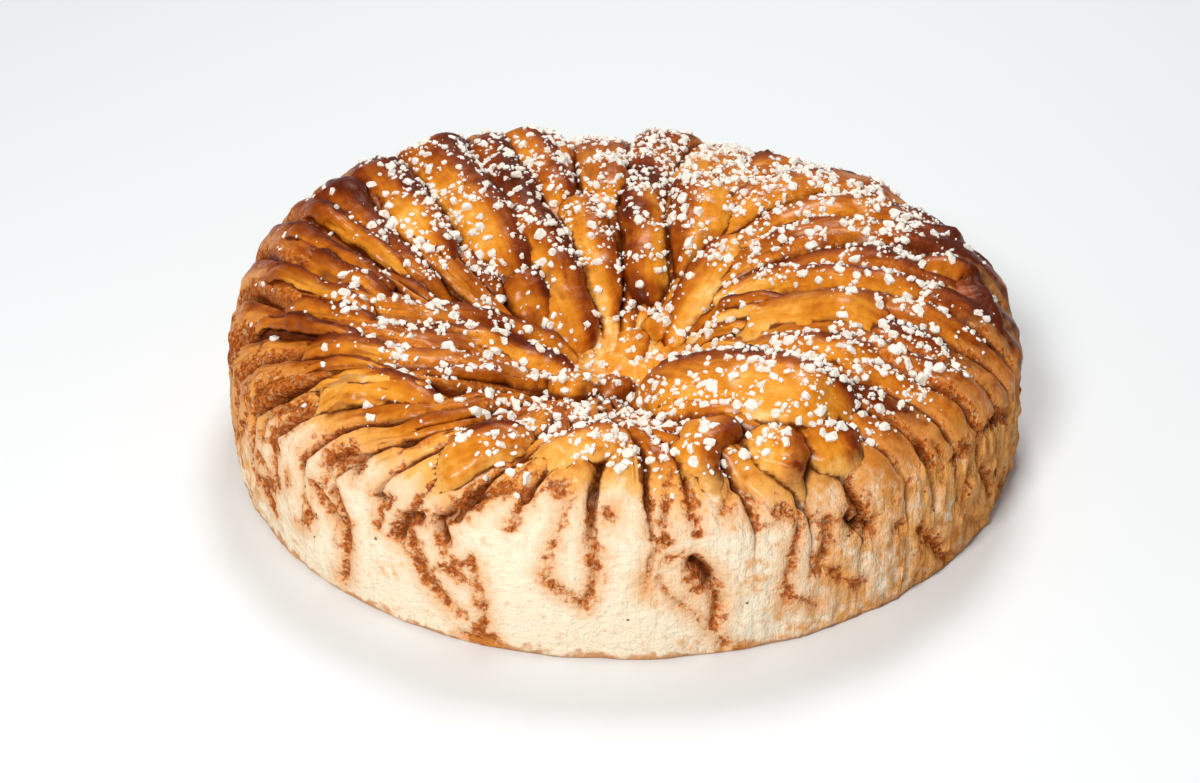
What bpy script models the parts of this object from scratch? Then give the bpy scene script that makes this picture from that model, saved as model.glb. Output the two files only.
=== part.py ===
# Cinnamon wreath: a round loaf of folded cinnamon dough, baked in a ring until its hole closed.
# Its folds run from a dimple in the middle, over the crest and down the side, under pearl sugar.
# Metres, +Z up, the origin at the centre of the flat base, -Y towards the viewer.

import math
import random

import bpy
import numpy as np
from mathutils import Vector
from mathutils.bvhtree import BVHTree

# Loaf
RIM_RADIUS = 0.130          # widest, a little above half height
BASE_RADIUS = 0.1285
DIMPLE = (-0.001, -0.024)   # the closed hole is nearer the viewer than the base's centre

# Distance from the dimple and height there, in mm, towards the viewer and away from it
FRONT_PROFILE = (
    (0, 29), (12, 32), (25, 39), (40, 47.5), (55, 54.5), (70, 59.5), (85, 62),
    (95, 62), (105, 60), (115, 56), (122, 51), (127, 44.5), (130, 37),
)
BACK_PROFILE = (
    (0, 29), (12, 32), (25, 39), (40, 47), (55, 54), (70, 59), (85, 60.5),
    (95, 58.5), (105, 54.5), (115, 48.5), (122, 42.5), (127, 36), (130, 28),
)
# The back is highest left of its middle: bearing in degrees, and mm above the back's profile at the rim
HIGH_BACK = ((50, 0), (75, 3), (100, 3), (118, 8), (132, 11), (150, 11), (165, 9), (178, 6), (192, 0))
HIGH_BACK_FROM = (86, 114)  # mm from the dimple between which that height is reached
SHOULDER = 127              # mm from the dimple, where the top's rings end and the side's begin
SIDE_LEVELS = (0.80, 0.60, 0.40, 0.22, 0.08, 0.0)  # heights of the side's rings, as shares of the shoulder

# Folds of dough, going round from the viewer towards +X. Each row holds the bearings of the fold's
# middle line in degrees at the four stations, the distance from the dimple where it starts, and
# how far it stands over the creases beside it, both in mm.
STATIONS = (30, 65, 100, 127)
FOLDS = (
    (258, 262, 268, 271, 40, 5.0),
    (260, 264, 274, 276, 84, 4.5),
    (262, 266, 279, 283, 90, 4.5),
    (263, 267, 284, 292, 94, 6.0),
    (264, 268, 288, 300, 104, 3.5),
    (268, 278, 297, 308, 54, 9.0),
    (286, 292, 308, 313, 60, 3.5),
    (302, 305, 314, 319, 68, 4.0),
    (318, 317, 320, 325, 50, 4.5),
    (346, 334, 327, 331, 22, 7.5),
    (352, 341, 334, 336, 58, 4.0),
    (374, 355, 343, 341, 24, 5.5),
    (388, 365, 353, 347, 42, 5.5),
    (400, 376, 362, 356, 34, 4.5),
    (412, 389, 374, 368, 28, 6.5),
    (420, 404, 389, 383, 32, 6.0),
    (426, 416, 404, 399, 28, 6.0),
    (430, 425, 418, 415, 30, 5.5),
    (436, 434, 431, 429, 20, 4.5),
    (444, 443, 443, 442, 22, 5.5),
    (458, 455, 456, 455, 18, 5.5),
    (476, 468, 467, 466, 20, 6.5),
    (494, 481, 477, 475, 22, 6.0),
    (504, 495, 486, 482, 40, 7.0),
    (515, 508, 497, 490, 46, 4.0),
    (526, 521, 507, 499, 38, 7.0),
    (533, 533, 516, 507, 58, 5.0),
    (538, 541, 526, 514, 60, 5.0),
    (541, 547, 537, 522, 64, 5.0),
    (544, 554, 549, 532, 22, 5.5),
    (572, 570, 560, 543, 30, 5.0),
    (596, 584, 570, 552, 22, 5.0),
    (610, 600, 579, 561, 28, 5.5),
    (611, 605, 588, 568, 90, 4.0),
    (612, 609, 595, 575, 72, 5.0),
    (613, 611, 601, 582, 94, 4.5),
    (614, 613, 607, 589, 104, 4.5),
    (615, 616, 613, 597, 84, 5.5),
    (615.7, 618, 618, 603, 100, 4.5),
    (616.4, 619, 622, 609, 100, 5.5),
    (617, 620, 625, 620, 106, 5.0),
)
BLUR = (-10, -5, 0, 5, 10)  # mm, the taps that round off a fold's line at its stations
CREASE_DEPTH = 1.6          # mm below the mean surface
ROUNDED_END = 8             # mm over which a fold's inner end rises
THIN_END = 0.45             # rise at the dimple, as a share of the fold's own
LOBE_REACH = 0.0026         # how far a fold swells past the rim
LUMPINESS = 0.0010          # unevenness of the whole loaf

# Mesh: columns run along the folds, at these shares of the way from one middle line to the next
ACROSS = (0.0, 0.27, 0.5, 0.73)
TOP_RINGS = (9, 18, 27, 36, 45, 54, 63, 71, 79, 87, 94, 101, 107.5, 113.5, 118.5, 123, SHOULDER)

# Pearl sugar
NIB_COUNT = 100
NIB_SPACING = 0.0072
NIB_SIZES = (0.0030, 0.0043)
NIB_SUNK = 0.12             # share of a nib's size that its middle stands over the dough
SUGAR_REACH = 0.118         # nibs lie inside this distance from the dimple
SEED = 7


def profile_height(e, bearing):
    """Mean height at e metres from the dimple, between the front's and the back's profile."""
    front = np.interp(e * 1000, *zip(*FRONT_PROFILE))
    back = np.interp(e * 1000, *zip(*BACK_PROFILE))
    away = (1 + np.sin(bearing)) / 2
    start, end = HIGH_BACK_FROM
    grown = np.clip((e * 1000 - start) / (end - start), 0, 1)
    lift = np.interp(np.degrees(bearing) % 360, *zip(*HIGH_BACK)) * grown**2 * (3 - 2 * grown)
    return ((1 - away) * front + away * back + lift) / 1000


def fold_bearings(e):
    """Bearings in radians of every fold's middle line, e metres from the dimple."""
    rows = [[np.interp(e * 1000 + tap, STATIONS, fold[:4]) for tap in BLUR] for fold in FOLDS]
    return np.radians(np.mean(rows, axis=1))


def column_bearings(e):
    """Bearings of the mesh's columns: each middle line, its crease, and a slope on either side."""
    middles = fold_bearings(e)
    nexts = np.append(middles[1:], middles[0] + 2 * math.pi)
    return np.concatenate([a + (b - a) * np.array(ACROSS) for a, b in zip(middles, nexts)])


def fullness():
    """How full a fold is at each column, from 0 in a crease to 1 on its middle line."""
    from_middle = np.minimum(ACROSS, 1 - np.array(ACROSS))
    return np.sqrt(1 - (2 * from_middle) ** 2)


def relief(e):
    """Height over the creases at each column of the ring e metres from the dimple."""
    heights = []
    for start, rise in (fold[4:] for fold in FOLDS):
        grown = math.sqrt(np.clip((e * 1000 - start) / ROUNDED_END + 0.5, 0, 1))
        slim = THIN_END + (1 - THIN_END) * min(1, e / 0.08)
        heights.append(rise / 1000 * grown * slim)
    nexts = heights[1:] + heights[:1]
    near_next = np.array(ACROSS) > 0.5
    return np.concatenate([np.where(near_next, b, a) * fullness() for a, b in zip(heights, nexts)])


def lumps(x, y):
    """Slow unevenness of the whole loaf."""
    return LUMPINESS * (
        np.sin(x * 71 + 1.3) * np.cos(y * 53 - 0.4) + 0.6 * np.sin(x * 113 - y * 97 + 2.1)
    )


def plan_point(e, bearing):
    """Plan position: the bearings fan out from the dimple and even out towards the rim."""
    share = 1 - e / RIM_RADIUS
    for _ in range(6):
        x = DIMPLE[0] * share + e * np.cos(bearing)
        y = DIMPLE[1] * share + e * np.sin(bearing)
        share = np.clip(1 - np.hypot(x, y) / RIM_RADIUS, 0, 1)
    return x, y


def top_ring(e):
    bearing = column_bearings(e)
    x, y = plan_point(e, bearing)
    full = np.tile(fullness(), len(FOLDS)) - 0.5
    lobe = 1 + LOBE_REACH / RIM_RADIUS * (e * 1000 / SHOULDER) ** 12 * full
    z = profile_height(e, bearing) + relief(e) - CREASE_DEPTH / 1000 + lumps(x, y)
    return np.stack([x * lobe, y * lobe, z], -1)


def side_ring(level, shoulder):
    """A ring of the side, at a share of the shoulder's height. Its folds flatten towards the base."""
    turn = np.arctan2(shoulder[:, 1], shoulder[:, 0])
    belly = math.sin(math.pi * min(1, level + 0.18))
    full = np.tile(fullness(), len(FOLDS)) - 0.5
    radius = BASE_RADIUS + (RIM_RADIUS - BASE_RADIUS) * belly + LOBE_REACH * level**1.5 * full
    return np.stack([radius * np.cos(turn), radius * np.sin(turn), shoulder[:, 2] * level], -1)


def loaf_mesh():
    """The whole loaf as rings: the dimple's middle, the top, the shoulder, the side and the base."""
    rings = [top_ring(ring / 1000) for ring in TOP_RINGS]
    rings += [side_ring(level, rings[-1]) for level in SIDE_LEVELS]
    columns = len(rings[0])
    dimple = np.mean(rings[0], axis=0)
    points = np.concatenate([[dimple], *rings, [(0, 0, 0)]])
    last = len(points) - 1
    faces = []
    for i in range(columns):
        j = (i + 1) % columns
        faces.append((0, 1 + i, 1 + j))
        for k in range(len(rings) - 1):
            a, b = 1 + k * columns, 1 + (k + 1) * columns
            faces.append((a + i, b + i, b + j, a + j))
        base = 1 + (len(rings) - 1) * columns
        faces.append((base + i, last, base + j))
    mesh = bpy.data.meshes.new("wreath")
    mesh.from_pydata(points.tolist(), [], faces)
    mesh.validate()
    return mesh


def sugar_share(e, bearing):
    """How thickly the sugar lies: most at the back and the right, least along the left rim."""
    thick = 0.62 + 0.38 * math.cos(bearing - math.radians(60))
    if e > 0.085 and math.cos(bearing - math.radians(205)) > 0.5:
        thick *= 0.3
    return thick


def sugar_spots(draw, surface):
    """Places for the nibs on the loaf's surface, kept apart from each other."""
    spots = []
    down = Vector((0, 0, -1))
    while len(spots) < NIB_COUNT:
        e = SUGAR_REACH * math.sqrt(draw.uniform(0.02, 1))
        bearing = draw.uniform(0, 2 * math.pi)
        if draw.random() > sugar_share(e, bearing):
            continue
        x, y = (float(v) for v in plan_point(e, bearing))
        if all(math.hypot(x - spot.x, y - spot.y) > NIB_SPACING for spot in spots):
            spots.append(surface.ray_cast(Vector((x, y, 1)), down)[0])
    return spots


def add_nib(spot, draw, collection):
    """One pearl of sugar: a blunt uneven crystal with twenty faces."""
    size = draw.uniform(*NIB_SIZES)
    bpy.ops.mesh.primitive_ico_sphere_add(subdivisions=1, radius=size / 2)
    nib = bpy.context.object
    nib.scale = [draw.uniform(0.8, 1.15) for _ in range(3)]
    nib.rotation_euler = [draw.uniform(0, 2 * math.pi) for _ in range(3)]
    nib.location = spot + Vector((0, 0, NIB_SUNK * size))
    bpy.ops.object.transform_apply(location=True, rotation=True, scale=True)
    for old in nib.users_collection:
        old.objects.unlink(nib)
    collection.objects.link(nib)


def fuse(body, collection):
    """Joins every nib to the loaf in one union and removes the loose ones."""
    bpy.context.view_layer.objects.active = body
    union = body.modifiers.new("sugar", "BOOLEAN")
    union.operation = "UNION"
    union.operand_type = "COLLECTION"
    union.collection = collection
    union.solver = "EXACT"
    bpy.ops.object.modifier_apply(modifier=union.name)
    for nib in list(collection.objects):
        bpy.data.objects.remove(nib, do_unlink=True)
    bpy.data.collections.remove(collection)


def crust_material():
    material = bpy.data.materials.new("baked crust")
    material.use_nodes = True
    shader = material.node_tree.nodes["Principled BSDF"]
    shader.inputs["Base Color"].default_value = (0.55, 0.24, 0.06, 1)
    shader.inputs["Roughness"].default_value = 0.45
    shader.inputs["Metallic"].default_value = 0
    return material


def main():
    for old in list(bpy.data.objects):
        bpy.data.objects.remove(old, do_unlink=True)
    wreath = bpy.data.objects.new("wreath", loaf_mesh())
    bpy.context.scene.collection.objects.link(wreath)
    wreath.data.materials.append(crust_material())
    nibs = bpy.data.collections.new("pearl sugar")
    bpy.context.scene.collection.children.link(nibs)
    draw = random.Random(SEED)
    surface = BVHTree.FromObject(wreath, bpy.context.evaluated_depsgraph_get())
    for spot in sugar_spots(draw, surface):
        add_nib(spot, draw, nibs)
    fuse(wreath, nibs)
    wreath.data.shade_smooth()
    wreath.data.set_sharp_from_angle(angle=math.radians(40))


main()
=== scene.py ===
import math
import random

import bpy
import numpy as np
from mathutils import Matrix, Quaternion, Vector, noise
from mathutils.bvhtree import BVHTree


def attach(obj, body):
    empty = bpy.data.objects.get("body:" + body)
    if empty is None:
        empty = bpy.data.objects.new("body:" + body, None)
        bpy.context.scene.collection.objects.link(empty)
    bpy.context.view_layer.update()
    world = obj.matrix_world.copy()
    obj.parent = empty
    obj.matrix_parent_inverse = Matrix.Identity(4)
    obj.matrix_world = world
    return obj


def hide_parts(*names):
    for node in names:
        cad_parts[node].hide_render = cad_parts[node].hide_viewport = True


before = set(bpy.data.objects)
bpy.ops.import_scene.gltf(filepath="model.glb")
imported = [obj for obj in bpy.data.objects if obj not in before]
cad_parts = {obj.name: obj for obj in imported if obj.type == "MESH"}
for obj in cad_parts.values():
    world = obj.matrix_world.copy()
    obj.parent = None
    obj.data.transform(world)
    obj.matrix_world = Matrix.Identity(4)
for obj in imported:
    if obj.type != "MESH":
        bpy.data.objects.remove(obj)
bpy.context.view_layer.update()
mm = 0.001


# Shader maths as Python expressions
class Value:
    def __init__(self, finish, socket):
        self.finish, self.socket = finish, socket

    def join(self, operation, other, turned=False):
        pair = [other, self] if turned else [self, other]
        return self.finish.node("ShaderNodeMath", {"operation": operation}, dict(enumerate(pair)))

    def __add__(self, other):
        return self.join("ADD", other)

    def __sub__(self, other):
        return self.join("SUBTRACT", other)

    def __rsub__(self, other):
        return self.join("SUBTRACT", other, True)

    def __mul__(self, other):
        return self.join("MULTIPLY", other)

    __radd__ = __add__
    __rmul__ = __mul__

    def most(self, other):
        return self.join("MAXIMUM", other)


class Finish:
    def __init__(self, name):
        self.material = bpy.data.materials.new(name)
        self.material.use_nodes = True
        self.tree = self.material.node_tree
        self.shader = self.tree.nodes["Principled BSDF"]
        self.place = self.node("ShaderNodeTexCoord", {}, {}, "Object")

    def node(self, kind, settings, inputs, output=0):
        made = self.tree.nodes.new(kind)
        for name, setting in settings.items():
            if name == "stops":
                ramp = made.color_ramp
                while len(ramp.elements) < len(setting):
                    ramp.elements.new(1)
                for element, (position, colour) in zip(ramp.elements, setting):
                    element.position, element.color = position, colour
            else:
                setattr(made, name, setting)
        for name, given in inputs.items():
            if isinstance(given, Value):
                self.tree.links.new(given.socket, made.inputs[name])
            else:
                made.inputs[name].default_value = given
        return Value(self, made.outputs[output])

    def stored(self, name):
        return self.node("ShaderNodeAttribute", {"attribute_name": name}, {}, "Fac")

    def grain(self, size, detail=3, place=None, roughness=0.55):
        # Noise whose lumps are about size metres across, centred on zero
        spot = self.node("ShaderNodeTexNoise", {}, {
            "Vector": place or self.place, "Scale": 1 / size, "Detail": detail, "Roughness": roughness})
        return spot - 0.5

    def cells(self, size):
        # Distance from the middles of scattered cells, in cells
        return self.node("ShaderNodeTexVoronoi", {}, {"Vector": self.place, "Scale": 1 / size}, "Distance")

    def fade(self, value, low, high):
        # 0 below low and 1 above high
        return self.node("ShaderNodeMapRange", {"interpolation_type": "SMOOTHSTEP"},
                         {0: value, 1: low, 2: high})

    def ramp(self, value, stops):
        return self.node("ShaderNodeValToRGB", {"stops": stops}, {0: value})

    def mix(self, share, a, b):
        return self.node("ShaderNodeMix", {"data_type": "RGBA"}, {0: share, 6: a, 7: b}, 2)

    def bump(self, height, distance):
        return self.node("ShaderNodeBump", {}, {"Height": height, "Distance": distance, "Strength": 1.0})

    def feed(self, **sockets):
        for name, given in sockets.items():
            socket = self.shader.inputs[name.replace("_", " ")]
            if isinstance(given, Value):
                self.tree.links.new(given.socket, socket)
            else:
                socket.default_value = given


def linear(shade):
    return ((shade / 255 + 0.055) / 1.055) ** 2.4 if shade > 10 else shade / 3294


def paint(red, green, blue):
    # A colour as seen on a screen, 0 to 255, turned to the linear one that shaders take
    return linear(red), linear(green), linear(blue), 1


def clearSelection():
    for picked in list(bpy.context.selected_objects):
        picked.select_set(False)


# Camera at the photograph's angle
view = {
    "elevation": 33, "distance": 0.80, "lens": 70.9,
    "shift": (-0.0208, 0.025),
}


def makeCamera():
    data = bpy.data.cameras.new("camera")
    data.sensor_width = 36
    data.lens = view["lens"]
    data.shift_x, data.shift_y = view["shift"]
    camera = bpy.data.objects.new("camera", data)
    bpy.context.scene.collection.objects.link(camera)
    lift = math.radians(view["elevation"])
    camera.location = (0, -view["distance"] * math.cos(lift), view["distance"] * math.sin(lift))
    camera.rotation_euler = (math.pi / 2 - lift, 0, 0)
    bpy.context.scene.camera = camera


# Soft studio light and a plain pale floor
studio = {
    "world": (0.95, 0.97, 1.0), "worldStrength": 0.26,
    "lamps": (  # name, place, size, power, colour
        ("key", (-0.38, -0.92, 0.95), 0.36, 15.0, (1.0, 0.98, 0.95)),
        ("top", (0.10, 0.70, 1.15), 0.40, 9.0, (1.0, 0.99, 0.97)),
    ),
    "floor": paint(231, 235, 237), "floorSize": 8,
}


def makeStudio():
    world = bpy.data.worlds.new("studio")
    world.use_nodes = True
    sky = world.node_tree.nodes["Background"]
    sky.inputs[0].default_value = (*studio["world"], 1)
    sky.inputs[1].default_value = studio["worldStrength"]
    bpy.context.scene.world = world
    for name, place, size, power, colour in studio["lamps"]:
        data = bpy.data.lights.new(name, "AREA")
        data.size, data.energy, data.color = size, power, colour
        lamp = bpy.data.objects.new(name, data)
        lamp.location = place
        lamp.rotation_euler = (-Vector(place)).to_track_quat("-Z", "Y").to_euler()
        bpy.context.scene.collection.objects.link(lamp)
    bpy.ops.mesh.primitive_plane_add(size=studio["floorSize"])
    floor = bpy.context.object
    floor.name = "floor"
    pale = Finish("pale floor")
    pale.feed(Base_Color=studio["floor"], Roughness=0.6)
    floor.data.materials.append(pale.material)
    bpy.context.scene.view_settings.view_transform = "Standard"


# Baked dough: cream, golden, orange brown to almost black, by how far it is baked, and the colours of painted
# shade in creases, hollows and holes
crustFinish = {
    "tones": (  # places that the oven left browner or paler: x, y and spread in mm, and how much browner
        (-42, -22, 8, 0.6), (-31, -25, 8, 0.65), (-22, -30, 7, 0.5), (7, 10, 5, 0.5), (-60, -36, 8, 0.15),
        (-58, -58, 10, 0.1), (118, 4, 13, 0.3), (121, -12, 12, 0.3), (88, 10, 8, 0.35), (98, 8, 8, 0.25),
        (-38, 48, 9, 0.35), (-34, 58, 9, 0.3), (-47, 12, 7, 0.3), (8, 62, 6, 0.4), (7, 40, 5, 0.4),
        (108, -48, 10, 0.2), (-70, 26, 8, -0.35), (-92, 48, 14, 0.15), (-60, 96, 16, 0.1), (70, 92, 18, 0.15),
        (104, 50, 14, 0.15), (50, 106, 14, 0.1), (10, -62, 9, 0.2), (66, -78, 8, 0.35), (80, -86, 9, 0.35),
        (36, -64, 9, 0.3), (20, -58, 7, 0.2), (55, -8, 9, 0.2), (75, -18, 9, 0.25), (95, -60, 9, 0.25),
        (86, -40, 8, 0.25), (-90, -30, 9, 0.2), (-84, 10, 9, 0.2), (-100, 30, 9, 0.25), (-66, 66, 8, 0.2),
        (57, -22, 12, -0.1), (-100, -60, 14, 0.1), (58, -33, 5, 0.4), (-88, -70, 16, -0.1),
        (-70, -60, 12, -0.1), (112, 22, 14, 0.12), (116, -34, 12, 0.15), (-98, 66, 16, 0.12)),
    "bake": ((0.0, paint(249, 209, 146)), (0.12, paint(243, 182, 94)), (0.24, paint(231, 154, 52)),
             (0.38, paint(214, 131, 28)), (0.52, paint(190, 103, 16)), (0.68, paint(156, 74, 10)),
             (0.84, paint(120, 44, 5)), (1.0, paint(86, 27, 4))),
    "thinPale": paint(238, 180, 96), "thinTan": paint(190, 108, 40),
    "crumbPale": paint(250, 233, 205), "crumbTan": paint(234, 168, 98), "crumbDark": paint(180, 102, 42),
    "spiceLight": paint(230, 138, 58), "spiceDark": paint(180, 82, 18), "spiceFleck": paint(246, 206, 152),
    # The hole colour is painted shade, laid in the deepest grooves of the cinnamon strokes
    "spiceHeart": paint(124, 48, 8), "spiceHalo": paint(232, 158, 82), "hole": paint(84, 34, 10),
    # The crease colour is painted shade, laid along the creases and in hollows
    "crease": paint(98, 36, 6), "layerEdge": paint(134, 60, 10), "foot": paint(206, 132, 58),
    "speck": paint(46, 26, 16), "sheen": (1.0, 0.70, 0.40, 1.0),
}


def toneAt(points):
    return sum(amount * np.exp(-((points[..., 0] - x) ** 2 + (points[..., 1] - y) ** 2) / spread ** 2)
               for x, y, spread, amount in crustFinish["tones"])


# The loaf. All in mm and degrees. A fold's row: bearings of its middle line at the four stations, where
# it starts, its rise, how brown it is inside and at the rim, width of its cinnamon band, and its lean.
loaf = {
    "rimRadius": 130, "baseRadius": 128.5, "dimple": (-1, -24), "shoulder": 127,
    "front": ((0, 29), (12, 32), (25, 39), (40, 47.5), (55, 54.5), (70, 59.5), (85, 62),
              (95, 62), (105, 60), (115, 56), (122, 51), (127, 44.5), (130, 37)),
    "back": ((0, 29), (12, 32), (25, 39), (40, 47), (55, 54), (70, 59), (85, 60.5),
             (95, 58.5), (105, 54.5), (115, 48.5), (122, 42.5), (127, 36), (130, 28)),
    # The back is highest left of its middle: bearing, and mm above the back's profile at the rim
    "highBack": ((50, 0), (75, 3), (100, 3), (118, 8), (132, 11), (150, 11), (165, 9), (178, 6), (192, 0)),
    "highBackFrom": (86, 114),
    "stations": (30, 65, 100, 127),
    "blur": (-10, -5, 0, 5, 10),
    "folds": (
        (258, 262, 268, 271, 40, 5.0, 0.38, 0.22, 0.0, 0.0),
        (260, 264, 274, 276, 84, 4.5, 0.38, 0.35, 0.5, 0.5),
        (262, 266, 279, 283, 90, 4.5, 0.42, 0.48, 0.5, 1.0),
        (263, 267, 284, 292, 94, 6.0, 0.38, 0.33, 0.5, 1.0),
        (264, 268, 288, 300, 104, 3.5, 0.42, 0.48, 0.6, 1.0),
        (268, 278, 297, 308, 54, 4.0, 0.34, 0.34, 0.5, 2.5),
        (286, 292, 308, 313, 60, 3.5, 0.38, 0.33, 1.0, 1.0),
        (302, 305, 314, 319, 68, 4.0, 0.60, 0.68, 2.0, 1.0),
        (318, 317, 320, 325, 50, 4.5, 0.35, 0.35, 1.0, 1.0),
        (346, 334, 327, 331, 22, 7.5, 0.45, 0.45, 2.0, 2.5),
        (352, 341, 334, 336, 58, 4.0, 0.55, 0.60, 2.0, 1.5),
        (374, 355, 343, 341, 24, 5.5, 0.40, 0.45, 1.0, 1.5),
        (388, 365, 353, 347, 42, 5.5, 0.50, 0.82, 1.0, 1.5),
        (400, 376, 362, 356, 34, 4.5, 0.60, 0.90, 1.0, 1.0),
        (412, 389, 374, 368, 28, 6.5, 0.40, 0.85, 1.0, 1.0),
        (420, 404, 389, 383, 32, 6.0, 0.35, 0.80, 1.0, 0.8),
        (426, 416, 404, 399, 28, 6.0, 0.35, 0.60, 1.0, 0.5),
        (430, 425, 418, 415, 30, 5.5, 0.35, 0.55, 1.0, 0.3),
        (436, 434, 431, 429, 20, 4.5, 0.25, 0.50, 0.8, 0.0),
        (444, 443, 443, 442, 22, 5.5, 0.62, 0.66, 0.5, 0.0),
        (458, 455, 456, 455, 18, 5.5, 0.35, 0.55, 1.0, 0.0),
        (476, 468, 467, 466, 20, 6.5, 0.40, 0.55, 1.0, -0.5),
        (494, 481, 477, 475, 22, 6.0, 0.42, 0.55, 1.5, -0.8),
        (504, 495, 486, 482, 40, 7.0, 0.55, 0.65, 1.5, -1.0),
        (515, 508, 497, 490, 46, 4.0, 0.50, 0.70, 4.0, -1.0),
        (526, 521, 507, 499, 38, 7.0, 0.50, 0.68, 1.5, -1.5),
        (533, 533, 516, 507, 58, 5.0, 0.55, 0.85, 2.0, -1.5),
        (538, 541, 526, 514, 60, 5.0, 0.50, 0.66, 4.0, -1.5),
        (541, 547, 537, 522, 64, 5.0, 0.50, 0.62, 5.0, -1.5),
        (544, 554, 549, 532, 22, 5.5, 0.42, 0.52, 6.0, -2.0),
        (572, 570, 560, 543, 30, 5.0, 0.45, 0.52, 7.0, -2.0),
        (596, 584, 570, 552, 22, 5.0, 0.42, 0.44, 6.0, -2.0),
        (610, 600, 579, 561, 28, 5.5, 0.45, 0.42, 5.0, -2.0),
        (611, 605, 588, 568, 90, 4.0, 0.42, 0.38, 3.0, -1.5),
        (612, 609, 595, 575, 72, 5.0, 0.40, 0.40, 1.5, -1.5),
        (613, 611, 601, 582, 94, 4.5, 0.42, 0.30, 1.0, -1.0),
        (614, 613, 607, 589, 104, 4.5, 0.35, 0.25, 1.0, -1.0),
        (615, 616, 613, 597, 84, 5.5, 0.38, 0.30, 1.5, -1.0),
        (615.7, 618, 618, 603, 100, 4.5, 0.45, 0.35, 1.5, -1.0),
        (616.4, 619, 622, 609, 100, 5.5, 0.40, 0.28, 1.5, -0.5),
        (617, 620, 625, 620, 106, 5.0, 0.36, 0.25, 0.8, 0.0),
    ),
    "columnsPerFold": 17, "topStep": 1.25, "firstRings": (2.5, 5, 8, 11), "sideRings": 34,
    # How deep the crease after each fold is
    "creases": (1.3, 0.5, 0.9, 1.4, 1.2, 0.8, 0.6, 0.5, 1.0, 0.9, 0.6, 0.9, 1.2, 1.0, 0.6, 0.3, 0.2, 0.3, 0.4,
                1.0, 0.4, 0.5, 0.9, 0.5, 0.5, 0.6, 0.6, 0.5, 0.5, 0.7, 1.2, 0.8, 1.2, 0.5, 0.8, 0.4, 0.7, 0.5,
                0.9, 0.8, 1.1),
    "creaseDepth": 2.4, "creaseWidth": 1.1,
    "relief": 1.15, "steepest": 0.4,      # scale of every rise, and the most of it as a share of the width
    "sunk": 5.0,                          # how far the folds' feet lie under the profile
    "noseLength": 7, "roundness": (2.3, 0.6),
    "wander": 1.7, "drift": 2.4,          # degrees that one fold strays, and mm that all stray together
    "turnUnder": 10,                      # height over which the shoulder turns down into the side
    "lobeReach": 2.4, "wallSwell": 1.5,
    "melted": (260, 36), "meltedRise": 3.0,     # bearing and spread of the front, where the folds melt away
    # Bearing and height of the line where the golden crust gives way to the pale side
    "crustEdge": ((150, 36), (178, 38), (205, 43), (214, 49), (228, 52), (238, 53), (246, 50), (252, 54),
                  (261, 57), (267, 58), (272, 58), (277, 53), (284, 52), (290, 51), (298, 49), (312, 48),
                  (330, 48), (342, 42), (352, 34), (375, 28), (400, 26), (450, 25), (480, 30), (510, 35)),
    # Bearing and how toasted the side's crumb is there
    "toast": ((150, 0.5), (178, 0.7), (204, 0.5), (212, 0.22), (235, 0.08), (255, 0.02), (275, 0.08),
              (290, 0.3), (303, 0.55), (320, 0.75), (345, 0.95), (400, 0.75), (450, 0.6), (510, 0.6)),
    "firstBearing": 150,                  # bearings in these two tables run on from here
    # The base: how far each ring lies in from the side's foot, and its height
    "footHeight": 1.2, "base": ((0.6, 0.35), (1.8, 0.0), (9.0, 0.0)),
}
folds = np.array(loaf["folds"], float)
foldCount, perFold = len(folds), loaf["columnsPerFold"]


def table(rows, at):
    return np.interp(at, *zip(*rows))


def smooth(value, low, high):
    share = np.clip((value - low) / (high - low), 0, 1)
    return share * share * (3 - 2 * share)


def lumps(points, size, octaves=2):
    # Even unevenness, about -1 to 1, read at points in mm
    return np.array([noise.fractal(Vector(p), 1.0, 2.0, octaves) for p in points / size])


def perFoldNoise(first, apart, last):
    return np.array([noise.noise((first, k * apart, last)) for k in range(foldCount)])


def turnOf(points):
    # Bearing in degrees as the tables of the side count it
    turn = np.degrees(np.arctan2(points[..., 1], points[..., 0])) % 360
    return np.where(turn < loaf["firstBearing"], turn + 360, turn)


def profile(e, bearing):
    away = (1 + np.sin(bearing)) / 2
    lift = table(loaf["highBack"], np.degrees(bearing) % 360) * smooth(e, *loaf["highBackFrom"])
    return (1 - away) * table(loaf["front"], e) + away * table(loaf["back"], e) + lift


def middleLines(e):
    rows = [[np.interp(e + tap, loaf["stations"], row[:4]) for tap in loaf["blur"]] for row in folds]
    return np.radians(np.mean(rows, axis=1))


def planPoint(e, bearing):
    share = 1 - e / loaf["rimRadius"]
    for _ in range(6):
        x = loaf["dimple"][0] * share + e * np.cos(bearing)
        y = loaf["dimple"][1] * share + e * np.sin(bearing)
        share = np.clip(1 - np.hypot(x, y) / loaf["rimRadius"], 0, 1)
    return x, y


def whereOnTop(x, y):
    # Distance and bearing from the dimple of a place seen from above
    share = np.clip(1 - np.hypot(x, y) / loaf["rimRadius"], 0, 1)
    x, y = x - loaf["dimple"][0] * share, y - loaf["dimple"][1] * share
    return np.hypot(x, y), np.arctan2(y, x)


def drift(x, y, e):
    # Slow wandering of all the folds together
    reach = loaf["drift"] * (smooth(e, 22, 50) * (1 - smooth(e, 108, 127)))
    apart = np.array([(noise.noise((a / 24, b / 24, 1.1)), noise.noise((a / 24, b / 24, 7.7)))
                      for a, b in zip(x, y)])
    return x + reach * apart[:, 0], y + reach * apart[:, 1]


def meltedAt(degrees):
    # 1 in the middle of the front, where the folds melt into the side, and 0 well away from it
    middle, spread = loaf["melted"]
    return np.exp(-((degrees % 360 - middle) / spread) ** 4)


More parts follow.
